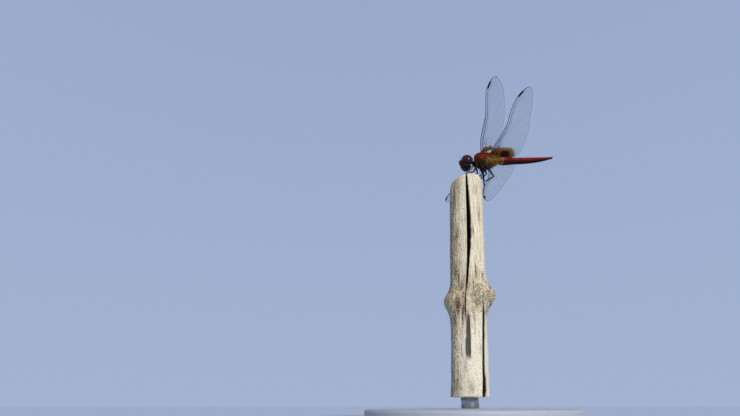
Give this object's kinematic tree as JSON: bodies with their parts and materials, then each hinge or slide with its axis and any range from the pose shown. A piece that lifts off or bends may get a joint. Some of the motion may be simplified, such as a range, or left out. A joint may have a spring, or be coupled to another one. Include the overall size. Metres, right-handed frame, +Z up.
{
  "type": "dragonfly on a stick",
  "caption": "Red male basker dragonfly at rest on the tip of a cracked dead stick, wings spread and veined, as a life-size museum model on a plain round stand.",
  "frame": {"origin": "centre of the stand base's flat underside", "axes": "+Z up; -X the way the dragonfly faces; +Y the side its right wings spread to"},
  "size_m": [0.0857, 0.076, 0.1268],
  "materials": {
    "eyes": "glossy",
    "face": "satin",
    "head_cuticle": "satin",
    "thorax_cuticle": "matte",
    "abdomen_cuticle": "satin",
    "wing_membrane": "glossy",
    "black_limbs": "satin",
    "dead_wood": "matte",
    "stand_base": "satin",
    "stand_rod": "satin"
  },
  "bodies": {
    "root": {"eye_left": "eyes", "eye_right": "eyes", "frons": "face", "clypeus": "face", "labrum": "face", "vertex": "face", "head": "head_cuticle", "labium": "head_cuticle", "prothorax": "head_cuticle", "thorax": "thorax_cuticle", "abdomen_1": "abdomen_cuticle", "abdomen_2": "abdomen_cuticle", "abdomen_3": "abdomen_cuticle", "abdomen_4": "abdomen_cuticle", "abdomen_5": "abdomen_cuticle", "abdomen_6": "abdomen_cuticle", "abdomen_7": "abdomen_cuticle", "abdomen_8": "abdomen_cuticle", "abdomen_9": "abdomen_cuticle", "abdomen_10": "abdomen_cuticle", "wing_fore_left": "wing_membrane", "wing_fore_right": "wing_membrane", "wing_hind_left": "wing_membrane", "wing_hind_right": "wing_membrane", "antenna_left": "black_limbs", "antenna_right": "black_limbs", "cercus_left": "black_limbs", "cercus_right": "black_limbs", "epiproct": "black_limbs", "leg_front_left": "black_limbs", "leg_mid_left": "black_limbs", "leg_hind_left": "black_limbs", "leg_front_right": "black_limbs", "leg_mid_right": "black_limbs", "leg_hind_right": "black_limbs", "perch_stick": "dead_wood", "stand_base": "stand_base", "stand_rod": "stand_rod"}
  },
  "joints": []
}
